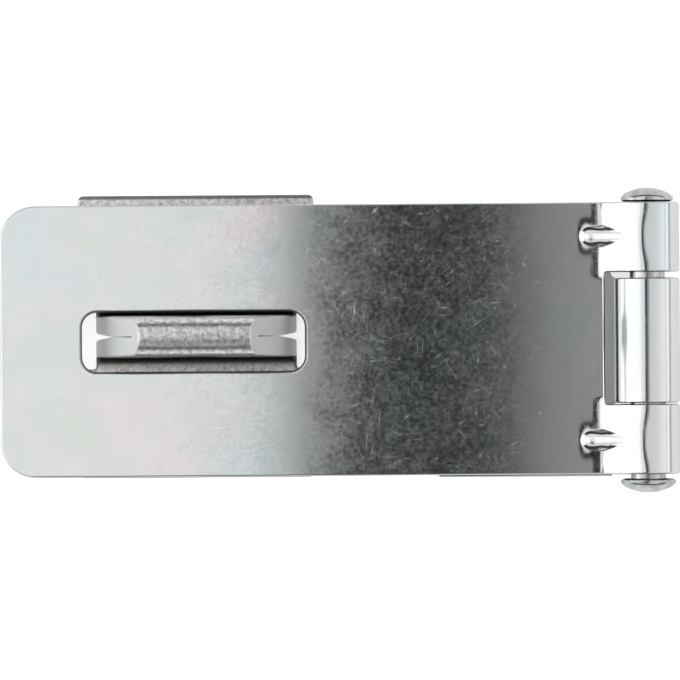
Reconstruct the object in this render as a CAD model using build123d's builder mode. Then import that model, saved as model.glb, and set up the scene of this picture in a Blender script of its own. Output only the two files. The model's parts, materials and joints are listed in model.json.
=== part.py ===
import os
from math import asin, atan2, cos, hypot, isclose, radians, sin, sqrt

from build123d import *

os.makedirs("parts", exist_ok=True)

# A hasp: a hinged strap that closes over a folded staple. All sizes are in millimetres.
# The origin is the middle of the hinge leaf's screw pattern, on the mounting plane.
# +X runs to the hinge pin, and +Z away from the mounting plane.

# Sheet, pin and barrel
gauge = 1.8
width = 34.0
pin_r = 2.2
pin_play = 0.05
bore_r = pin_r + pin_play
barrel_r = bore_r + gauge
hinge_x = 16.0
hinge_z = barrel_r

# Broken edges of the blanks
skin_soft = 0.25
slot_soft = 0.35
notch_soft = 0.2
leaf_soft = 0.25

# How high the closed strap lies
staple_gauge = 2.3
rest_gap = 0.1
strap_under = staple_gauge + rest_gap
strap_top = strap_under + gauge

# Length of the staple's flanges, and of the web that stands on them
flange_len = 29.5
foot_margin = 2.2
foot_half = flange_len / 2 - foot_margin
crest_inset = 5.5
crest_half = foot_half - crest_inset

# Strap blank: free end and slot
reach = 80.95
tip_x = hinge_x - reach
corner_r = 4.4
end_float = 0.3
strap_y = end_float
slot_margin = 10.05
slot_play = 3.15
slot_len = 2 * foot_half + slot_play
slot_width = 7.85
slot_r = 2.1
slot_x = tip_x + slot_margin + slot_len / 2

# Strap hinge end: a slow lead into the bend, the ramp up to the barrel, and the roll
lead_r = 10.0
lead_angle = 6.0
bend_r = 1.0
ramp_angle = 42.0
lead_sin, lead_cos = sin(radians(lead_angle)), cos(radians(lead_angle))
ramp_sin, ramp_cos = sin(radians(ramp_angle)), cos(radians(ramp_angle))
bend_z = strap_top + lead_r - (lead_r - bend_r) * lead_cos
bend_x = hinge_x - (barrel_r + bend_r - (bend_z - hinge_z) * ramp_cos) / ramp_sin
lead_x = bend_x - (lead_r - bend_r) * lead_sin
lead_z = strap_top + lead_r
roll_start_angle = 90.0 + ramp_angle
roll_end_angle = -145.0
roll_angle = roll_start_angle - roll_end_angle
skin_radii = (lead_r, bend_r, barrel_r)

# Knuckles, and the notch between them
knuckle = 8.75
notch = width - 2 * knuckle
notch_gap = 1.3
notch_x = hinge_x - barrel_r - notch_gap
notch_r = 0.4

# Pressed dart across each bend, and its hollow underneath
dart_y = 12.75
dart_r = 1.7
dart_high = 0.5
dart_deep = 1.3
dart_foot = 8.4
dart_head = 3.0
dart_turn_r = 3.0
dart_nose = sqrt(dart_high * (2 * dart_r - dart_high))
dart_x = hinge_x - dart_foot + dart_nose
dart_z = strap_top + dart_high
dart_run = hinge_x - dart_head - dart_x
dart_rise = hinge_z + sqrt(barrel_r**2 - dart_head**2) - dart_z - dart_turn_r
dart_angle = atan2(dart_rise, dart_run) + asin(dart_turn_r / hypot(dart_run, dart_rise))
dart_len = sqrt(dart_run**2 + dart_rise**2 - dart_turn_r**2)
dart_bury = 0.4
dart_blend = 0.3
hollow_r = 0.7
hollow_drop = 0.4

# Hinge leaf
leaf_end = -10.65
leaf_corner_r = 0.8
shoulder_gap = 0.45
shoulder_x = hinge_x - barrel_r - shoulder_gap
shoulder_r = 0.8
knuckle_play = 0.9
tongue = notch - knuckle_play
leaf_roll_angle = 290.0
leaf_screws_x = 11.0
leaf_screws_y = 20.0

# Countersunk screw holes
screw_r = 2.25
sink_land = 0.5
leaf_sink_r = screw_r + gauge - sink_land
staple_sink_r = screw_r + staple_gauge - sink_land

# Hinge pin and its riveted heads
head_top_r = 3.3
head_low_r = 3.45
head_gap = 0.55
rim_bulge = 0.45
rim_high = 1.05
dome_high = 0.75

# Staple: blank, folds and where it stands in the slot
shift_x = 0.35
shift_y = 0.57
staple_x = slot_x + shift_x
staple_y = strap_y + shift_y
staple_span = 35.3
flange_corner_r = 0.7
slit = 0.14
spread = 1.3
spread_sin, spread_cos = sin(radians(spread)), cos(radians(spread))
fold_r = slit / 2 + staple_gauge
crest_z = 17.5
fold_z = crest_z - fold_r
turn_r = 0.9
turn_z = staple_gauge + turn_r
turn_y = (fold_r + turn_r + (fold_z - turn_z) * spread_sin) / spread_cos
knee_drop = 0.4
knee_z = staple_gauge - knee_drop
lean = (foot_half - crest_half) / (crest_z - knee_z)
foot_land = 0.5
foot_r = 0.45
land_y = turn_y + foot_land
staple_soft = 0.3
eye_r = 4.75
eye_gap = 0.5
eye_z = strap_top + eye_gap + eye_r
screw_margin = 5.75
staple_screws_x = flange_len - 2 * screw_margin
staple_screws_y = 22.0

# Reach of the cutting tools past the sheet
past = 5.0
tall = crest_z + 2 * past


def outer(edge):
    """Whether an edge lies on the sheet's outer face, clear of the bore."""
    middle = edge @ 0.5
    return hypot(middle.X - hinge_x, middle.Z - hinge_z) > bore_r + gauge / 2


def skin(edges):
    """The outer edges up the bend and the ramp and round the barrel."""
    arcs = edges.filter_by(GeomType.CIRCLE)
    arcs = arcs.filter_by(lambda e: any(isclose(e.radius, r, abs_tol=1e-4) for r in skin_radii))
    ramps = edges.filter_by(lambda e: isclose(abs(e.tangent_at(0).Z), ramp_sin, abs_tol=1e-4))
    return (arcs + ramps.filter_by(GeomType.LINE)).filter_by(outer)


# The strap: one sheet, bent up at the hinge end and rolled over the pin
with BuildPart() as hasp_strap:
    with BuildSketch(Plane.XZ.offset(-strap_y)):
        with BuildLine():
            face = Line((tip_x, strap_top), (lead_x, strap_top))
            back = Line((tip_x, strap_under), (lead_x, strap_under))
            outside = CenterArc((hinge_x, hinge_z), barrel_r, roll_start_angle, -roll_angle)
            inside = CenterArc((hinge_x, hinge_z), bore_r, roll_start_angle, -roll_angle)
            for below, roll in ((0, outside), (gauge, inside)):
                CenterArc((lead_x, lead_z), lead_r + below, -90, lead_angle)
                bend = CenterArc((bend_x, bend_z), bend_r + below, lead_angle - 90, ramp_angle - lead_angle)
                Line(bend @ 1, roll @ 0)
            Line(outside @ 1, inside @ 1)
            Line(face @ 0, back @ 0)
        make_face()
    extrude(amount=width / 2, both=True)

    # Rounded free end
    fillet(hasp_strap.edges().filter_by(Axis.Z).group_by(Axis.X)[0], corner_r)
    plate = hasp_strap.faces().filter_by(Axis.Z).sort_by(Axis.Z)[-1]
    chamfer(plate.edges().sort_by(Axis.X)[:-1] + skin(hasp_strap.edges()), skin_soft)

    # Slot for the staple
    with BuildSketch(Plane.XY):
        with Locations((slot_x, strap_y)):
            RectangleRounded(slot_len, slot_width, slot_r)
    extrude(amount=tall, mode=Mode.SUBTRACT)
    chamfer(hasp_strap.edges(Select.LAST).group_by(Axis.Z)[-1], slot_soft)

    # Notch for the middle knuckle
    with BuildSketch(Plane.XY.offset(-past)) as notch_plan:
        with Locations((notch_x, strap_y)):
            Rectangle(reach, notch, align=(Align.MIN, Align.CENTER))
        fillet(notch_plan.vertices().group_by(Axis.X)[0], notch_r)
    extrude(amount=tall, mode=Mode.SUBTRACT)
    fresh = hasp_strap.edges(Select.LAST)
    lip = fresh.filter_by(lambda e: e.bounding_box().min.Z > strap_top and e.geom_type != GeomType.CIRCLE)
    lip = lip.filter_by(lambda e: e.bounding_box().max.X < notch_x + notch_r + pin_play)
    chamfer(lip + skin(fresh).filter_by_position(Axis.X, notch_x + notch_r / 2, hinge_x + reach), notch_soft)

    # Pressed darts: a low ridge with a round nose, swept up the bend, and a groove under it
    for side in (1, -1):
        nose = Vector(dart_x, strap_y + side * dart_y, dart_z)
        half, full = (
            nose + Vector(sin(turn), 0, 1 - cos(turn)) * dart_turn_r for turn in (dart_angle / 2, dart_angle)
        )
        with BuildLine() as ridge:
            rise = ThreePointArc(nose, half, full)
            Line(rise @ 1, rise @ 1 + (rise % 1) * (dart_len + dart_bury))
        upright = Plane(origin=nose, x_dir=(0, 1, 0), z_dir=(1, 0, 0))
        with BuildSketch(upright) as crown:
            with Locations((0, -dart_r)):
                Circle(dart_r)
            with Locations((0, -dart_deep)):
                Rectangle(2 * dart_r, 2 * dart_r, align=(Align.CENTER, Align.MAX), mode=Mode.SUBTRACT)
        sweep(path=ridge.line)
        with BuildSketch(upright):
            add(crown.sketch_local)
            Rectangle(2 * dart_r, 4 * dart_r, align=(Align.MAX, Align.CENTER), mode=Mode.SUBTRACT)
        revolve(axis=Axis(nose, (0, 0, 1)))
        near = hasp_strap.edges().filter_by_position(Axis.Y, nose.Y - dart_r, nose.Y + dart_r)
        near = near.filter_by_position(Axis.Z, strap_top - pin_play, hinge_z + barrel_r).filter_by(outer)
        near = near.filter_by(
            lambda e: e.geom_type in (GeomType.ELLIPSE, GeomType.BSPLINE)
            or (e.geom_type == GeomType.CIRCLE and not isclose(e.radius, dart_r, abs_tol=1e-4))
        )
        fillet(near, dart_blend)
        with BuildSketch(upright):
            with Locations((0, -gauge - hollow_r)):
                Circle(hollow_r)
                Rectangle(2 * hollow_r, hollow_drop, align=(Align.CENTER, Align.MAX))
        sweep(path=ridge.line, mode=Mode.SUBTRACT)
    with Locations(Location((hinge_x, strap_y, hinge_z), (90, 0, 0))):
        Cylinder(bore_r, width, mode=Mode.SUBTRACT)

hasp_strap.part.label = "hasp_strap"
export_step(hasp_strap.part, "parts/hasp_strap.step")

# The hinge leaf: one sheet whose tongue rolls under and round the pin
with BuildPart() as fixed_leaf:
    with BuildSketch(Plane.XZ):
        with BuildLine():
            back = Line((leaf_end, 0), (hinge_x, 0))
            face = Line((leaf_end, gauge), (hinge_x, gauge))
            outside = CenterArc((hinge_x, hinge_z), barrel_r, -90, leaf_roll_angle)
            inside = CenterArc((hinge_x, hinge_z), bore_r, -90, leaf_roll_angle)
            Line(outside @ 1, inside @ 1)
            Line(face @ 0, back @ 0)
        make_face()
    extrude(amount=width / 2, both=True)
    with BuildSketch(Plane.XY.offset(-past)) as shoulders:
        for side in (1, -1):
            with Locations((shoulder_x, side * (tongue + width) / 2)):
                Rectangle(reach, width, align=(Align.MIN, Align.CENTER))
        inner = shoulders.vertices().group_by(Axis.X)[0].sort_by(Axis.Y)[1:-1]
        fillet(inner, shoulder_r)
    extrude(amount=tall, mode=Mode.SUBTRACT)
    chamfer(skin(fixed_leaf.edges()), notch_soft)
    corners = fixed_leaf.edges().filter_by(Axis.Z).group_by(Axis.X)[0]
    fillet(corners, leaf_corner_r)
    plate = fixed_leaf.faces().filter_by(Axis.Z).filter_by_position(Axis.Z, gauge / 2, hinge_z)
    rim = plate.sort_by(SortBy.AREA)[-1].edges()
    chamfer(rim.filter_by_position(Axis.X, leaf_end - past, shoulder_x - shoulder_r), leaf_soft)
    with Locations(Location((0, 0, gauge))):
        with GridLocations(leaf_screws_x, leaf_screws_y, 2, 2):
            CounterSinkHole(screw_r, leaf_sink_r, counter_sink_angle=90)

fixed_leaf.part.label = "fixed_leaf"
export_step(fixed_leaf.part, "parts/fixed_leaf.step")

# The hinge pin: a shank with a riveted head at each end
with BuildPart() as hinge_pin:
    with BuildSketch(Plane((hinge_x, strap_y, hinge_z))):
        for side, head_r, under in (
            (1, head_top_r, width / 2),
            (-1, head_low_r, width / 2 + head_gap),
        ):
            rim_r = head_r - rim_bulge
            rim_y = under + rim_high
            dome_r = (rim_r**2 + dome_high**2) / (2 * dome_high)
            crown = rim_y + dome_high - dome_r
            slant = atan2(rim_r, dome_r - dome_high) / 2
            with BuildLine():
                shank = Polyline((0, 0), (pin_r, 0), (pin_r, side * under), (rim_r, side * under))
                rim = Polyline(
                    shank @ 1,
                    (head_r, side * (under + rim_bulge / 2)),
                    (head_r, side * (rim_y - rim_bulge)),
                    (rim_r, side * rim_y),
                )
                dome = ThreePointArc(
                    rim @ 1,
                    (dome_r * sin(slant), side * (crown + dome_r * cos(slant))),
                    (0, side * (rim_y + dome_high)),
                )
                Line(dome @ 1, (0, 0))
            make_face()
    revolve(axis=Axis((hinge_x, strap_y, hinge_z), (0, 1, 0)))

hinge_pin.part.label = "hinge_pin"
export_step(hinge_pin.part, "parts/hinge_pin.step")

# The staple: one sheet folded double for the web, with a flange turned out on each side
with BuildPart() as staple:
    with BuildSketch(Plane.YZ.offset(staple_x)):
        with Locations((staple_y, 0)):
            with BuildSketch(mode=Mode.PRIVATE) as section:
                with BuildLine():
                    for side in (1, -1):
                        turn = side * (90 - spread)
                        tip = side * staple_span / 2
                        top = Line((tip, staple_gauge), (side * turn_y, staple_gauge))
                        low = Line((tip, 0), (side * turn_y, 0))
                        hollow = CenterArc((side * turn_y, turn_z), turn_r, -90, -turn)
                        round_out = CenterArc((side * turn_y, turn_z), turn_z, -90, -turn)
                        for foot, crest_r in ((hollow, fold_r), (round_out, slit / 2)):
                            Line(foot @ 1, (side * crest_r * spread_cos, fold_z + crest_r * spread_sin))
                        Line(top @ 0, low @ 0)
                    CenterArc((0, fold_z), fold_r, spread, 180 - 2 * spread)
                    CenterArc((0, fold_z), slit / 2, spread, 180 - 2 * spread)
                make_face()
            add(section.sketch)
    extrude(amount=flange_len / 2, both=True)

    # Sloped ends of the web, and the upright relief through the flanges below them
    with BuildSketch(Plane.XZ.offset(-staple_y)):
        for side in (1, -1):
            with BuildLine():
                Polyline(
                    (staple_x + side * foot_half, -past),
                    (staple_x + side * foot_half, knee_z),
                    (staple_x + side * (crest_half - lean * past), crest_z + past),
                    (staple_x + side * flange_len, crest_z + past),
                    (staple_x + side * flange_len, -past),
                    close=True,
                )
            make_face()
    extrude(amount=land_y, both=True, mode=Mode.SUBTRACT)

    # Padlock eye through both layers
    with Locations(Location((staple_x, staple_y, eye_z), (90, 0, 0))):
        Cylinder(eye_r, 2 * turn_y, mode=Mode.SUBTRACT)

    # Flange corners, and the rounded relief at each foot of the web
    def corners(from_middle):
        edges = staple.edges().filter_by(GeomType.LINE)
        edges = edges.filter_by(lambda e: isclose(abs(e.center().Y - staple_y), from_middle, abs_tol=1e-4))
        return edges.filter_by(lambda e: abs(e.tangent_at(0).Z) > 1 - lean / 2)

    fillet(corners(staple_span / 2), flange_corner_r)
    feet = corners(land_y).filter_by(lambda e: abs(e.center().X - staple_x) < flange_len / 2 - slit)
    fillet(feet, foot_r)

    # One softened edge: round each flange, up the slopes, over the crest and round the eye
    top = staple.faces().sort_by(Axis.Z)[-1:]
    top += staple.faces().filter_by(Axis.Z).filter_by_position(Axis.Z, slit, turn_z)
    top += staple.faces().filter_by(GeomType.PLANE).filter_by(
        lambda f: staple_gauge < abs(f.center().Y - staple_y) < turn_y and abs(f.normal_at().Y) > lean
    )
    top += staple.faces().filter_by(GeomType.CYLINDER).filter_by(
        lambda f: isclose(f.radius, turn_r, abs_tol=1e-4)
    )
    chamfer(
        top.edges().filter_by(
            lambda e: abs(e.tangent_at(0).X) < 1 - 1e-4 or abs(e.center().Y - staple_y) > turn_y + slit / 2
        ),
        staple_soft,
    )

    # Screw holes
    with Locations(Location((staple_x, staple_y, staple_gauge))):
        with GridLocations(staple_screws_x, staple_screws_y, 2, 2):
            CounterSinkHole(screw_r, staple_sink_r, counter_sink_angle=90)

staple.part.label = "staple"
export_step(staple.part, "parts/staple.step")
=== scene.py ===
import json
import math

import bmesh
import bpy
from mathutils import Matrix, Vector
from mathutils.bvhtree import BVHTree

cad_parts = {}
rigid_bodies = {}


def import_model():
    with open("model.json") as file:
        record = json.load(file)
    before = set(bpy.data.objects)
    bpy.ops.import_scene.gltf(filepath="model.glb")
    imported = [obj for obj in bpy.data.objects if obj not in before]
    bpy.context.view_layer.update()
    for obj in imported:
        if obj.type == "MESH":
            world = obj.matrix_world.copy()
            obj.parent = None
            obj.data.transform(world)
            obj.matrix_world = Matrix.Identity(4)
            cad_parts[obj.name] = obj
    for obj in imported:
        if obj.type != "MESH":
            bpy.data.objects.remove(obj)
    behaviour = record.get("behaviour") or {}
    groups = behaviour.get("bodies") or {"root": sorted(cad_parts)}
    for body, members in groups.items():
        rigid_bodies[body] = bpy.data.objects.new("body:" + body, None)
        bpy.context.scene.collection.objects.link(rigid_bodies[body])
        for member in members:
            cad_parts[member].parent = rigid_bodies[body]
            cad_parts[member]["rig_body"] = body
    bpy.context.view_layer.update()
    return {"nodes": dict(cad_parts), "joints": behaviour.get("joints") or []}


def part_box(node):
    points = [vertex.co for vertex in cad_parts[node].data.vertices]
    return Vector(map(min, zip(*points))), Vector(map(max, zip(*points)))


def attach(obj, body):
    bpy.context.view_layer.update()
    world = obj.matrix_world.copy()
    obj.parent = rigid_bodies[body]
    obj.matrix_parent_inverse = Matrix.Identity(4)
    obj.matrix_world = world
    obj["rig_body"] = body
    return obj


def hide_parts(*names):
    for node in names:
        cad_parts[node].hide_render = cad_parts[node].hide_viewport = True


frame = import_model()
print("frame loaded:", ", ".join(sorted(frame["nodes"])))

mm = 0.001
hingeAt = Vector(frame["joints"][0]["pos_m"])
stapleLow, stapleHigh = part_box("staple")
stapleMiddle = (stapleLow + stapleHigh) / 2


def linear(hexColour):
    channels = [int(hexColour[i:i + 2], 16) / 255 for i in (1, 3, 5)]
    bent = [c / 12.92 if c <= 0.04045 else ((c + 0.055) / 1.055) ** 2.4 for c in channels]
    return (*bent, 1.0)


# Adds a node; an input may be a value, a socket, or a node whose first output is meant.
# A colour Mix has its two colours on inputs 6 and 7 and its result on output 2,
# and a number Mix has its two numbers on inputs 2 and 3.
def addNode(tree, kind, settings={}, inputs={}):
    node = tree.nodes.new(kind)
    for key, value in settings.items():
        setattr(node, key, value)
    for key, value in inputs.items():
        if isinstance(value, bpy.types.Node):
            value = value.outputs[0]
        if isinstance(value, bpy.types.NodeSocket):
            tree.links.new(value, node.inputs[key])
        else:
            node.inputs[key].default_value = value
    return node


def startMaterial(name):
    material = bpy.data.materials.new(name)
    material.use_nodes = True
    material.node_tree.nodes.clear()
    return material, material.node_tree


# The strap's punched slot: its walls lean in to the top, where the photograph has it
# a little narrower than the solid, and its edge is matt and grey
slotLook = {
    "middleMm": (-40.775, 0.3),
    "longMm": 28.25,
    "wideMm": 7.85,
    "cornerMm": 2.1,
    "edgeMm": 0.36,             # the broken edge lies nearer to the wall than this
    "drawnInMm": 0.2,           # at its top, and nothing at its foot
    "shiftMm": (0.0, -0.1),
    "heightMm": (2.4, 3.8),     # its foot, and where its top is broken
    "grey": "#9A9B9B",
    "rough": 0.5,
    "tilt": (0.97, 0.85),       # upright part of the normal where the edge starts and is full
}

# Bright zinc on smooth cold-rolled sheet: a soft mirror with pale tinted clouds,
# and hairline scuffs and specks that show light where the mirror is dark
sheetLook = {
    "coolTint": "#D3DADC",
    "warmTint": "#DEDADA",
    "greenTint": "#D2D9D3",
    "cloudMm": 11.0,
    "warmStep": (0.36, 0.64),   # noise where the warm tint starts and is full
    "greenFiner": 1.7,          # green clouds are this much smaller
    "greenStep": (0.48, 0.72),
    "greenMost": 0.8,
    "calm": 0.1,                # roughness of the untouched plating
    "worn": 0.165,              # roughness of the hazy patches
    "patchMm": 0.5,
    "hazeMm": 3.5,
    "hazeShare": 0.4,
    "hazeStep": (0.52, 0.9),
    "scuffed": 0.2,             # roughness that a scuff adds
    "scratchCellMm": 2.3,
    "scratchWideMm": 0.022,
    "scratchDeep": 0.7,
    "scratchBendMm": 1.6,       # how far a scratch strays, and over what length
    "scratchBendLongMm": 2.4,
    "scratchBreakMm": 2.0,
    "scratchBreakStep": (0.49, 0.59),
    "hairLongMm": 4.0,
    "hairWideMm": 0.16,         # drawn wider than a real hairline so that it shows
    "hairTurns": (4.0, 86.0, 38.0),
    "hairStep": (0.7, 0.8),
    "hairDeep": 0.7,
    "speckGapMm": 0.8,
    "speckMm": 0.09,
    "speckDeep": 0.6,
    "speckFrom": 0.55,          # cells with a lower chance stay clean
    "waveMm": 4.2,              # slow unevenness of the rolled sheet
    "waveHighMm": 0.002,
    "peelMm": 0.55,
    "peelHighMm": 0.0007,
    "dartFromMiddleMm": 12.75,
    # each in mm: where it starts and is full, from the hinge axis and off the dart, and its height
    "dartForms": {
        "lift at the nose": (((-8.9, -6.2), (-4.6, -6.2)), (3.2, 0.0), 0.24),
        "sink behind the head": (((-1.8, 1.2),), (4.6, 0.0), -0.2),
    },
    "rollFromHingeMm": -6.5,    # where the sheet starts to bend up to the barrel
    "rollBlendMm": 1.5,
    "rollWideMm": 1.5,
    "rollLongMm": 16.0,
    "rollHighMm": 0.012,
}


def zincSheet(name, look):
    material, tree = startMaterial(name)
    coordinates = addNode(tree, "ShaderNodeTexCoord")
    place = coordinates.outputs["Object"]

    # clouds of passivation tint
    cloud = addNode(tree, "ShaderNodeTexNoise", {}, {
        "Vector": place, "Scale": 1 / (look["cloudMm"] * mm), "Detail": 2.0})
    warmth = addNode(tree, "ShaderNodeMapRange", {}, {
        "Value": cloud, "From Min": look["warmStep"][0], "From Max": look["warmStep"][1]})
    spread = addNode(tree, "ShaderNodeTexNoise", {}, {
        "Vector": place, "Scale": look["greenFiner"] / (look["cloudMm"] * mm), "Detail": 1.0})
    greenness = addNode(tree, "ShaderNodeMapRange", {}, {
        "Value": spread, "From Min": look["greenStep"][0], "From Max": look["greenStep"][1],
        "To Max": look["greenMost"]})
    coolToWarm = addNode(tree, "ShaderNodeMix", {"data_type": "RGBA"}, {
        0: warmth, 6: linear(look["coolTint"]), 7: linear(look["warmTint"])})
    colour = addNode(tree, "ShaderNodeMix", {"data_type": "RGBA"}, {
        0: greenness, 6: coolToWarm.outputs[2], 7: linear(look["greenTint"])})

    # curved scratches: thin cell borders on bent coordinates, broken up by a slow mask
    bend = addNode(tree, "ShaderNodeTexNoise", {}, {
        "Vector": place, "Scale": 1 / (look["scratchBendLongMm"] * mm), "Detail": 1.0})
    bentPlace = addNode(tree, "ShaderNodeVectorMath", {"operation": "MULTIPLY_ADD"}, {
        0: bend.outputs["Color"], 1: (look["scratchBendMm"] * mm,) * 3, 2: place})
    border = addNode(tree, "ShaderNodeTexVoronoi", {"feature": "DISTANCE_TO_EDGE"}, {
        "Vector": bentPlace, "Scale": 1 / (look["scratchCellMm"] * mm)})
    scratch = addNode(tree, "ShaderNodeMapRange", {}, {
        "Value": border, "From Max": look["scratchWideMm"] / look["scratchCellMm"],
        "To Min": look["scratchDeep"], "To Max": 0.0})
    breaks = addNode(tree, "ShaderNodeTexNoise", {}, {
        "Vector": place, "Scale": 1 / (look["scratchBreakMm"] * mm), "Detail": 2.0})
    kept = addNode(tree, "ShaderNodeMapRange", {}, {
        "Value": breaks, "From Min": look["scratchBreakStep"][0], "From Max": look["scratchBreakStep"][1]})
    scuff = addNode(tree, "ShaderNodeMath", {"operation": "MULTIPLY"}, {0: scratch, 1: kept})

    # straight hairlines
    for turn in look["hairTurns"]:
        turned = addNode(tree, "ShaderNodeMapping", {"vector_type": "TEXTURE"}, {
            "Vector": place, "Rotation": (0.0, 0.0, math.radians(turn)),
            "Scale": (look["hairLongMm"] * mm, look["hairWideMm"] * mm, 1.0)})
        streak = addNode(tree, "ShaderNodeTexNoise", {}, {
            "Vector": turned, "Scale": 1.0, "Detail": 1.0})
        hair = addNode(tree, "ShaderNodeMapRange", {}, {
            "Value": streak, "From Min": look["hairStep"][0], "From Max": look["hairStep"][1],
            "To Max": look["hairDeep"]})
        scuff = addNode(tree, "ShaderNodeMath", {"operation": "MAXIMUM"}, {0: scuff, 1: hair})

    # specks where the plating is pitted
    dots = addNode(tree, "ShaderNodeTexVoronoi", {}, {
        "Vector": place, "Scale": 1 / (look["speckGapMm"] * mm)})
    chance = addNode(tree, "ShaderNodeSeparateColor", {}, {"Color": dots.outputs["Color"]})
    size = addNode(tree, "ShaderNodeMapRange", {}, {
        "Value": chance, "From Min": look["speckFrom"], "To Max": look["speckMm"] / look["speckGapMm"]})
    speck = addNode(tree, "ShaderNodeMath", {"operation": "LESS_THAN"}, {
        0: dots.outputs["Distance"], 1: size})
    pit = addNode(tree, "ShaderNodeMath", {"operation": "MULTIPLY"}, {0: speck, 1: look["speckDeep"]})
    scuff = addNode(tree, "ShaderNodeMath", {"operation": "MAXIMUM"}, {0: scuff, 1: pit})

    # roughness: calm plating, fine patches that thin out in places, then the scuffs
    patch = addNode(tree, "ShaderNodeTexNoise", {}, {
        "Vector": place, "Scale": 1 / (look["patchMm"] * mm), "Detail": 3.0, "Roughness": 0.7})
    haze = addNode(tree, "ShaderNodeTexNoise", {}, {
        "Vector": place, "Scale": 1 / (look["hazeMm"] * mm), "Detail": 2.0})
    patched = addNode(tree, "ShaderNodeMath", {"operation": "MULTIPLY_ADD"}, {
        0: haze, 1: look["hazeShare"], 2: patch})
    hazy = addNode(tree, "ShaderNodeMapRange", {}, {
        "Value": patched, "From Min": look["hazeStep"][0], "From Max": look["hazeStep"][1],
        "To Min": look["calm"], "To Max": look["worn"]})
    rough = addNode(tree, "ShaderNodeMath", {"operation": "MULTIPLY_ADD"}, {
        0: scuff, 1: look["scuffed"], 2: hazy})

    # punched edge of the slot
    facing = addNode(tree, "ShaderNodeSeparateXYZ", {}, {"Vector": coordinates.outputs["Normal"]})
    upright = addNode(tree, "ShaderNodeMath", {"operation": "ABSOLUTE"}, {0: facing.outputs["Z"]})
    punched = addNode(tree, "ShaderNodeMapRange", {}, {
        "Value": upright, "From Min": slotLook["tilt"][0], "From Max": slotLook["tilt"][1]})
    fromSlot = addNode(tree, "ShaderNodeVectorMath", {"operation": "SUBTRACT"}, {
        0: place, 1: (*[atMm * mm for atMm in slotLook["middleMm"]], 0.0)})
    offSlot = addNode(tree, "ShaderNodeSeparateXYZ", {}, {"Vector": fromSlot})
    for axis, acrossMm in (("X", slotLook["longMm"]), ("Y", slotLook["wideMm"])):
        away = addNode(tree, "ShaderNodeMath", {"operation": "ABSOLUTE"}, {0: offSlot.outputs[axis]})
        near = addNode(tree, "ShaderNodeMath", {"operation": "LESS_THAN"}, {
            0: away, 1: (acrossMm / 2 + slotLook["edgeMm"]) * mm})
        punched = addNode(tree, "ShaderNodeMath", {"operation": "MULTIPLY"}, {0: punched, 1: near})
    colour = addNode(tree, "ShaderNodeMix", {"data_type": "RGBA"}, {
        0: punched, 6: colour.outputs[2], 7: linear(slotLook["grey"])})
    rough = addNode(tree, "ShaderNodeMix", {"data_type": "FLOAT"}, {
        0: punched, 2: rough, 3: slotLook["rough"]})

    # slow waves of the rolled sheet
    wave = addNode(tree, "ShaderNodeTexNoise", {}, {
        "Vector": place, "Scale": 1 / (look["waveMm"] * mm), "Detail": 1.0})
    waved = addNode(tree, "ShaderNodeBump", {}, {
        "Height": wave, "Distance": look["waveHighMm"] * mm})

    # the sheet lifted and drawn in round both darts, alike on either side of the strap's middle
    fromHinge = addNode(tree, "ShaderNodeVectorMath", {"operation": "SUBTRACT"}, {0: place, 1: hingeAt})
    parts = addNode(tree, "ShaderNodeSeparateXYZ", {}, {"Vector": fromHinge})
    sideways = addNode(tree, "ShaderNodeMath", {"operation": "ABSOLUTE"}, {0: parts.outputs["Y"]})
    beside = addNode(tree, "ShaderNodeMath", {"operation": "SUBTRACT"}, {
        0: sideways, 1: look["dartFromMiddleMm"] * mm})
    offDart = addNode(tree, "ShaderNodeMath", {"operation": "ABSOLUTE"}, {0: beside})
    swollen = waved
    for slopes, (outside, inside), high in look["dartForms"].values():
        swell = addNode(tree, "ShaderNodeMapRange", {"interpolation_type": "SMOOTHERSTEP"}, {
            "Value": offDart, "From Min": outside * mm, "From Max": inside * mm})
        for none, full in slopes:
            slope = addNode(tree, "ShaderNodeMapRange", {"interpolation_type": "SMOOTHERSTEP"}, {
                "Value": parts.outputs["X"], "From Min": none * mm, "From Max": full * mm})
            swell = addNode(tree, "ShaderNodeMath", {"operation": "MULTIPLY"}, {0: swell, 1: slope})
        swollen = addNode(tree, "ShaderNodeBump", {}, {
            "Height": swell, "Distance": high * mm, "Normal": swollen})

    # faint ridges along the barrel from rolling it
    rollWide, rollLong = look["rollWideMm"] * mm, look["rollLongMm"] * mm
    along = addNode(tree, "ShaderNodeMapping", {"vector_type": "TEXTURE"}, {
        "Vector": place, "Scale": (rollWide, rollLong, rollWide)})
    ridge = addNode(tree, "ShaderNodeTexNoise", {}, {"Vector": along, "Scale": 1.0, "Detail": 1.0})
    onBarrel = addNode(tree, "ShaderNodeMapRange", {}, {
        "Value": parts.outputs["X"], "From Min": look["rollFromHingeMm"] * mm,
        "From Max": (look["rollFromHingeMm"] + look["rollBlendMm"]) * mm})
    rolled = addNode(tree, "ShaderNodeBump", {}, {
        "Height": ridge, "Distance": look["rollHighMm"] * mm, "Strength": onBarrel, "Normal": swollen})

    # fine peel of the plating
    peel = addNode(tree, "ShaderNodeTexNoise", {}, {
        "Vector": place, "Scale": 1 / (look["peelMm"] * mm), "Detail": 3.0})
    peeled = addNode(tree, "ShaderNodeBump", {}, {
        "Height": peel, "Distance": look["peelHighMm"] * mm, "Normal": rolled})

    shader = addNode(tree, "ShaderNodeBsdfPrincipled", {}, {
        "Base Color": colour.outputs[2], "Metallic": 1.0, "Roughness": rough, "Normal": peeled})
    addNode(tree, "ShaderNodeOutputMaterial", {}, {"Surface": shader})
    return material


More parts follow.
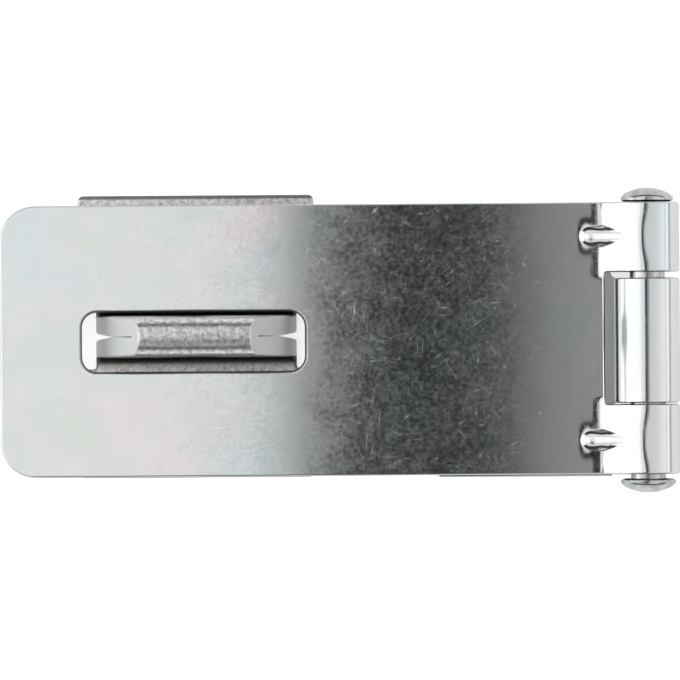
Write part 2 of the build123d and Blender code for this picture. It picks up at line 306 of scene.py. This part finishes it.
# Zinc on hot-rolled sheet: matt and grainy on its rolled faces, smooth and pale where it was sheared
grainLook = {
    "pale": "#E6E5E2",
    "dull": "#A8A8A6",
    "sheared": "#DADBDA",
    "foldShadeAndRim": "#6F6F6D",        # painted shade deep in the folds at the foot of the web; the flanges' outer rims are darkened with it too
    "foldShadeFromMm": (2.4, 2.6),
    "foldShadeToMm": (2.9, 4.6),
    "foldShadeHighMm": (3.0, 4.0),
    "rimFromMm": (17.1, 17.3),  # the flange's outer rim, darkened
    "rimDark": 0.9,
    "grainMm": 0.3,
    "grainHighMm": 0.042,
    "blotchMm": 0.6,
    "blotchStep": (0.4, 0.66),
    "grainRough": 0.28,
    "shearedRough": 0.5,
    "shearedFrom": (0.16, 0.26),    # how far along the sheet a sheared face points
    "shearedGrain": 0.04,           # share of the grain that it keeps
    "shearLineMm": 0.22,
    "shearLineLongMm": 6.0,
    "shearHighMm": 0.004,
}


def zincGrain(name, look):
    material, tree = startMaterial(name)
    coordinates = addNode(tree, "ShaderNodeTexCoord")
    place = coordinates.outputs["Object"]

    # the sheared ends face along the sheet's length
    facing = addNode(tree, "ShaderNodeSeparateXYZ", {}, {"Vector": coordinates.outputs["Normal"]})
    along = addNode(tree, "ShaderNodeMath", {"operation": "ABSOLUTE"}, {0: facing.outputs["X"]})
    sheared = addNode(tree, "ShaderNodeMapRange", {}, {
        "Value": along, "From Min": look["shearedFrom"][0], "From Max": look["shearedFrom"][1]})

    blotch = addNode(tree, "ShaderNodeTexNoise", {}, {
        "Vector": place, "Scale": 1 / (look["blotchMm"] * mm), "Detail": 5.0, "Roughness": 0.65})
    dullness = addNode(tree, "ShaderNodeMapRange", {}, {
        "Value": blotch, "From Min": look["blotchStep"][0], "From Max": look["blotchStep"][1]})
    rolled = addNode(tree, "ShaderNodeMix", {"data_type": "RGBA"}, {
        0: dullness, 6: linear(look["pale"]), 7: linear(look["dull"])})
    ends = addNode(tree, "ShaderNodeMix", {"data_type": "RGBA"}, {
        0: sheared, 6: rolled.outputs[2], 7: linear(look["sheared"])})

    # painted shade in the corner between the web and each flange, and the flanges' rims darkened
    fromMiddle = addNode(tree, "ShaderNodeVectorMath", {"operation": "SUBTRACT"}, {
        0: place, 1: (stapleMiddle.x, stapleMiddle.y, stapleLow.z)})
    parts = addNode(tree, "ShaderNodeSeparateXYZ", {}, {"Vector": fromMiddle})
    sideways = addNode(tree, "ShaderNodeMath", {"operation": "ABSOLUTE"}, {0: parts.outputs["Y"]})
    rim = addNode(tree, "ShaderNodeMapRange", {"interpolation_type": "SMOOTHSTEP"}, {
        "Value": sideways, "From Min": look["rimFromMm"][0] * mm, "From Max": look["rimFromMm"][1] * mm,
        "To Max": look["rimDark"]})
    dark = None
    for reading, limits, kept in (
            (sideways, look["foldShadeFromMm"], (0.0, 1.0)),
            (sideways, look["foldShadeToMm"], (1.0, 0.0)),
            (parts.outputs["Z"], look["foldShadeHighMm"], (1.0, 0.0))):
        step = addNode(tree, "ShaderNodeMapRange", {"interpolation_type": "SMOOTHSTEP"}, {
            "Value": reading, "From Min": limits[0] * mm, "From Max": limits[1] * mm,
            "To Min": kept[0], "To Max": kept[1]})
        dark = step if dark is None else addNode(tree, "ShaderNodeMath", {"operation": "MULTIPLY"}, {
            0: dark, 1: step})
    dark = addNode(tree, "ShaderNodeMath", {"operation": "MAXIMUM"}, {0: dark, 1: rim})
    # the folds at the foot of the web are darkened here as painted shade, and the rims with the same
    # colour
    colour = addNode(tree, "ShaderNodeMix", {"data_type": "RGBA"}, {
        0: dark, 6: ends.outputs[2], 7: linear(look["foldShadeAndRim"])})

    rough = addNode(tree, "ShaderNodeMapRange", {}, {
        "Value": sheared, "To Min": look["grainRough"], "To Max": look["shearedRough"]})

    grain = addNode(tree, "ShaderNodeTexNoise", {}, {
        "Vector": place, "Scale": 1 / (look["grainMm"] * mm), "Detail": 3.0, "Roughness": 0.55})
    strength = addNode(tree, "ShaderNodeMapRange", {}, {
        "Value": sheared, "To Min": 1.0, "To Max": look["shearedGrain"]})
    grained = addNode(tree, "ShaderNodeBump", {}, {
        "Height": grain, "Distance": look["grainHighMm"] * mm, "Strength": strength})
    lineLong, lineWide = look["shearLineLongMm"] * mm, look["shearLineMm"] * mm
    stretched = addNode(tree, "ShaderNodeMapping", {"vector_type": "TEXTURE"}, {
        "Vector": place, "Scale": (lineLong, lineWide, lineLong)})
    line = addNode(tree, "ShaderNodeTexNoise", {}, {"Vector": stretched, "Scale": 1.0, "Detail": 2.0})
    lined = addNode(tree, "ShaderNodeBump", {}, {
        "Height": line, "Distance": look["shearHighMm"] * mm, "Strength": sheared, "Normal": grained})

    shader = addNode(tree, "ShaderNodeBsdfPrincipled", {}, {
        "Base Color": colour.outputs[2], "Metallic": 1.0, "Roughness": rough, "Normal": lined})
    addNode(tree, "ShaderNodeOutputMaterial", {}, {"Surface": shader})
    return material


# Zinc on a turned and riveted steel pin: bright, with the faint dents of the riveting tool
pinLook = {
    "bright": "#C6C7C7",
    "grey": "#A6A8A9",
    "blotchMm": 1.2,
    "greyStep": (0.38, 0.64),
    "dentMm": 1.1,
    "dentHighMm": 0.02,
    "calm": 0.17,
    "worn": 0.27,
}


def zincPin(name, look):
    material, tree = startMaterial(name)
    place = addNode(tree, "ShaderNodeTexCoord").outputs["Object"]
    blotch = addNode(tree, "ShaderNodeTexNoise", {}, {
        "Vector": place, "Scale": 1 / (look["blotchMm"] * mm), "Detail": 4.0})
    greyness = addNode(tree, "ShaderNodeMapRange", {}, {
        "Value": blotch, "From Min": look["greyStep"][0], "From Max": look["greyStep"][1]})
    colour = addNode(tree, "ShaderNodeMix", {"data_type": "RGBA"}, {
        0: greyness, 6: linear(look["bright"]), 7: linear(look["grey"])})
    rough = addNode(tree, "ShaderNodeMapRange", {}, {
        "Value": greyness, "To Min": look["calm"], "To Max": look["worn"]})
    dent = addNode(tree, "ShaderNodeTexNoise", {}, {
        "Vector": place, "Scale": 1 / (look["dentMm"] * mm), "Detail": 2.0})
    dented = addNode(tree, "ShaderNodeBump", {}, {
        "Height": dent, "Distance": look["dentHighMm"] * mm})
    shader = addNode(tree, "ShaderNodeBsdfPrincipled", {}, {
        "Base Color": colour.outputs[2], "Metallic": 1.0, "Roughness": rough, "Normal": dented})
    addNode(tree, "ShaderNodeOutputMaterial", {}, {"Surface": shader})
    return material


# Each piece is its CAD node again, merged, with its narrow chamfers shaded as rounded edges
pieceLook = {
    "mergeMm": 0.0005,
    "flatTurn": 0.3,            # degrees; triangles that turn less are one flat face
    "sharpTurn": 50.0,          # degrees; chamfers turn less than this
}


# Cuts the given faces along a plane, and gives back the points of the cut
def cutAcross(work, faces, place, normal):
    reach = set(faces)
    for face in faces:
        reach.update(face.edges)
        reach.update(face.verts)
    cut = bmesh.ops.bisect_plane(work, geom=list(reach), plane_co=place, plane_no=normal)
    return [item for item in cut["geom_cut"] if isinstance(item, bmesh.types.BMVert)]


# Only the knuckles were bent up: the strap stays flat between them, up to the notch
notchLook = {
    "fromHingeMm": (-7.3, -4.9),            # just before the bend, and past the notch's edge
    "blendMm": (7.2, 7.5, 7.8, 8.1),        # from the middle: flat inside the first, bent from the last
    "sampleMm": 10.3,                       # from the middle, where the bend is plain to measure
    "plainMm": -20.0,                       # from the hinge axis, where the sheet is flat
    "castMm": 100.0,                        # rays that feel the sheet start this far off
}


def flattenNotch(work):
    bent = BVHTree.FromBMesh(work)
    down, far = Vector((0, 0, -1)), notchLook["castMm"] * mm

    def sheetAt(x):
        y = hingeAt.y + notchLook["sampleMm"] * mm
        return [bent.ray_cast(Vector((x, y, side * far)), side * down)[0].z for side in (-1, 1)]

    flatUnder, flatTop = sheetAt(hingeAt.x + notchLook["plainMm"] * mm)
    startX, endX = [hingeAt.x + atMm * mm for atMm in notchLook["fromHingeMm"]]
    lines = [offMm * mm for offMm in notchLook["blendMm"]]
    for line in lines:
        for side in (-1, 1):
            cutAcross(
                work, [f for f in work.faces if startX < f.calc_center_median().x < endX],
                (0, hingeAt.y + side * line, 0), (0, 1, 0))
    for vert in work.verts:
        bend = (abs(vert.co.y - hingeAt.y) - lines[0]) / (lines[-1] - lines[0])
        bend = min(max(bend, 0.0), 1.0)
        if bend < 1.0 and startX < vert.co.x < endX:
            under, top = sheetAt(vert.co.x)
            flat = flatUnder + (vert.co.z - under) * (flatTop - flatUnder) / (top - under)
            vert.co.z += (flat - vert.co.z) * (1 - bend * bend * (3 - 2 * bend))


def drawInSlot(work):
    middle = Vector((*slotLook["middleMm"], 0.0)) * mm
    coreX, coreY = [
        (slotLook[side] / 2 - slotLook["cornerMm"]) * mm for side in ("longMm", "wideMm")]
    foot, top = [highMm * mm for highMm in slotLook["heightMm"]]
    shift = Vector((*slotLook["shiftMm"], 0.0)) * mm
    for vert in work.verts:
        off = vert.co - middle
        outward = Vector((
            off.x - min(max(off.x, -coreX), coreX),
            off.y - min(max(off.y, -coreY), coreY), 0.0))
        if outward.length < (slotLook["cornerMm"] + slotLook["edgeMm"]) * mm:
            risen = min(max((vert.co.z - foot) / (top - foot), 0.0), 1.0)
            vert.co += risen * (shift - outward.normalized() * slotLook["drawnInMm"] * mm)


# The staple's two layers touch half way up, so that its slit opens only at the foot
slitLook = {
    "touchMm": 8.0,             # height where the layers touch
    "halfMm": 0.6,              # the slit's walls lie nearer to the middle than this
    "gapMm": 0.003,
}


def closeSlit(work):
    middleY, half = stapleMiddle.y, slitLook["halfMm"] * mm
    walls = [f for f in work.faces if all(abs(v.co.y - middleY) < half for v in f.verts)]
    for vert in cutAcross(work, walls, (0, 0, slitLook["touchMm"] * mm), (0, 0, 1)):
        vert.co.y = middleY + math.copysign(slitLook["gapMm"] * mm, vert.co.y - middleY)


def joinFlats(work):
    bmesh.ops.dissolve_limit(
        work, angle_limit=math.radians(pieceLook["flatTurn"]), verts=work.verts, edges=work.edges)


def dressNode(nodeName, material):
    source = frame["nodes"][nodeName]
    mesh = source.data.copy()
    work = bmesh.new()
    work.from_mesh(mesh)
    bmesh.ops.remove_doubles(work, verts=work.verts, dist=pieceLook["mergeMm"] * mm)
    joinFlats(work)
    if nodeName == "hasp_strap":
        flattenNotch(work)
        drawInSlot(work)
    if nodeName == "staple":
        closeSlit(work)
    for face in work.faces:
        face.smooth = True
    for edge in work.edges:
        edge.smooth = edge.calc_face_angle(math.pi) < math.radians(pieceLook["sharpTurn"])
    work.to_mesh(mesh)
    work.free()
    mesh.materials.clear()
    mesh.materials.append(material)
    rough = bpy.data.objects.new(nodeName + "_rough", mesh)
    bpy.context.scene.collection.objects.link(rough)
    shading = rough.modifiers.new("edge shading", "WEIGHTED_NORMAL")
    shading.mode = "FACE_AREA_WITH_ANGLE"
    shading.keep_sharp = True
    bpy.context.view_layer.update()
    shaded = rough.evaluated_get(bpy.context.evaluated_depsgraph_get())
    piece = bpy.data.objects.new(nodeName + "_dressed", bpy.data.meshes.new_from_object(shaded))
    bpy.data.objects.remove(rough)
    bpy.context.scene.collection.objects.link(piece)
    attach(piece, source["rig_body"])
    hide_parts(nodeName)
    print("dressed", nodeName, "with", len(piece.data.polygons), "faces")


sheetSteel = zincSheet("bright zinc on cold rolled steel", sheetLook)
leafSteel = zincSheet("bright zinc on rolled leaf steel", {**sheetLook, "dartForms": {}})
pinSteel = zincPin("bright zinc on riveted steel", pinLook)
grainSteel = zincGrain("matt zinc on hot rolled steel", grainLook)

dressNode("hasp_strap", sheetSteel)
dressNode("fixed_leaf", leafSteel)
dressNode("hinge_pin", pinSteel)
dressNode("staple", grainSteel)

# Camera straight above, far off on a long lens, turned a little as the photograph is
cameraLook = {
    "aimX": -22.45,             # mm, middle of the picture
    "aimY": 0.3,
    "level": 3.9,               # mm, height where the frame's width is measured
    "farMm": 1200.0,
    "frameMm": 85.0,            # width of the picture at that height
    "roll": -0.41,              # degrees
    "sensorMm": 36.0,
    "seesM": 20.0,
}

cameraData = bpy.data.cameras.new("camera")
cameraData.sensor_width = cameraLook["sensorMm"]
cameraData.lens = cameraData.sensor_width * cameraLook["farMm"] / cameraLook["frameMm"]
camera = bpy.data.objects.new("camera", cameraData)
camera.location = (
    cameraLook["aimX"] * mm,
    cameraLook["aimY"] * mm,
    (cameraLook["level"] + cameraLook["farMm"]) * mm,
)
camera.rotation_euler = (0.0, 0.0, math.radians(cameraLook["roll"]))
cameraData.clip_end = cameraLook["seesM"]
bpy.context.scene.collection.objects.link(camera)
bpy.context.scene.camera = camera

# Soft boxes close above, whose inner edges are what the flat strap mirrors, and a card at each end.
# A box has where it starts and ends right of the picture's middle, a card has where it stands.
# Then come front and back, all in mm, and the radiance. The front of the left box is dark,
# so that the staple's crest is lit from behind
lightLook = {
    "highMm": 250.0,
    "lowMm": 30.0,              # the end cards stand clear of the table
    "overhead": {
        "far left front box": (-1500.0, -72.0, -400.0, -130.0, 0.75),
        "far left soft box": (-1500.0, -72.0, -130.0, 140.0, 1.3),
        "far left back box": (-1500.0, -72.0, 140.0, 430.0, 0.75),
        "left front box": (-72.0, -7.0, -400.0, -65.0, 0.05),
        "left soft box": (-72.0, -7.0, -65.0, 430.0, 1.02),
        "dim middle card": (28.0, 56.0, -400.0, 430.0, 0.34),
        "right soft box": (56.0, 1500.0, -400.0, 430.0, 0.82),
    },
    "ends": {
        "left end card": (-600.0, -400.0, 430.0, 1.2),
        "right end card": (700.0, -400.0, 430.0, 0.42),
    },
    "sky": {                    # shade by height: 0 at the horizon, 1 overhead
        0.0: "#B4B6B8",
        0.13: "#3A3C3E",
        0.36: "#3A3C3E",
        0.5: "#989B9D",
        0.95: "#232425",
    },
}


def softBox(name, wide, deep, radiance, place, turn):
    lamp = bpy.data.lights.new(name, "AREA")
    lamp.shape = "RECTANGLE"
    lamp.size = wide * mm
    lamp.size_y = deep * mm
    lamp.energy = radiance * math.pi * lamp.size * lamp.size_y
    box = bpy.data.objects.new(name, lamp)
    box.location = [at * mm for at in place]
    box.rotation_euler = turn
    box.visible_camera = False
    bpy.context.scene.collection.objects.link(box)


for name, (fromMm, toMm, frontMm, backMm, radiance) in lightLook["overhead"].items():
    place = (cameraLook["aimX"] + (fromMm + toMm) / 2, (frontMm + backMm) / 2, lightLook["highMm"])
    softBox(name, toMm - fromMm, backMm - frontMm, radiance, place, (0, 0, 0))
endHighMm = lightLook["highMm"] - lightLook["lowMm"]
for name, (atMm, frontMm, backMm, radiance) in lightLook["ends"].items():
    place = (cameraLook["aimX"] + atMm, (frontMm + backMm) / 2, lightLook["lowMm"] + endHighMm / 2)
    facing = (0, math.copysign(math.pi / 2, atMm), 0)
    softBox(name, endHighMm, backMm - frontMm, radiance, place, facing)

world = bpy.data.worlds.new("studio")
world.use_nodes = True
world.node_tree.nodes.clear()
sky = addNode(world.node_tree, "ShaderNodeTexCoord")
height = addNode(world.node_tree, "ShaderNodeSeparateXYZ", {}, {"Vector": sky.outputs["Generated"]})
shade = addNode(world.node_tree, "ShaderNodeValToRGB", {}, {"Fac": height.outputs["Z"]})
stops = shade.color_ramp.elements
while len(stops) < len(lightLook["sky"]):
    stops.new(1.0)
for stop, (at, hexColour) in zip(stops, lightLook["sky"].items()):
    stop.position = at
    stop.color = linear(hexColour)
backdrop = addNode(world.node_tree, "ShaderNodeBackground", {}, {"Color": shade})
addNode(world.node_tree, "ShaderNodeOutputWorld", {}, {"Surface": backdrop})
bpy.context.scene.world = world
bpy.context.scene.view_settings.view_transform = "Standard"

# White light table
floorLook = {
    "white": "#F4F4F4",
    "rough": 0.9,
    "glow": 0.75,               # as the lens sees it
    "dimGlow": 0.3,             # as the metal sees it
    "sideMm": 5000.0,
    "belowMm": 0.2,             # clear of the mounting plane
}

floorMesh = bpy.data.meshes.new("floor")
half, below = floorLook["sideMm"] * mm / 2, floorLook["belowMm"] * mm
floorCorners = ((-half, -half), (half, -half), (half, half), (-half, half))
floorMesh.from_pydata([(x, y, -below) for x, y in floorCorners], [], [(0, 1, 2, 3)])
floor = bpy.data.objects.new("floor", floorMesh)
bpy.context.scene.collection.objects.link(floor)
paper, paperTree = startMaterial("white light table")
seen = addNode(paperTree, "ShaderNodeLightPath")    # the glow whitens the table more than the metal
glow = addNode(paperTree, "ShaderNodeMapRange", {}, {
    "Value": seen.outputs["Is Camera Ray"],
    "To Min": floorLook["dimGlow"], "To Max": floorLook["glow"]})
paperShader = addNode(paperTree, "ShaderNodeBsdfPrincipled", {}, {
    "Base Color": linear(floorLook["white"]), "Roughness": floorLook["rough"],
    "Emission Color": linear(floorLook["white"]), "Emission Strength": glow})
addNode(paperTree, "ShaderNodeOutputMaterial", {}, {"Surface": paperShader})
floorMesh.materials.append(paper)
print("camera, lights and floor set")
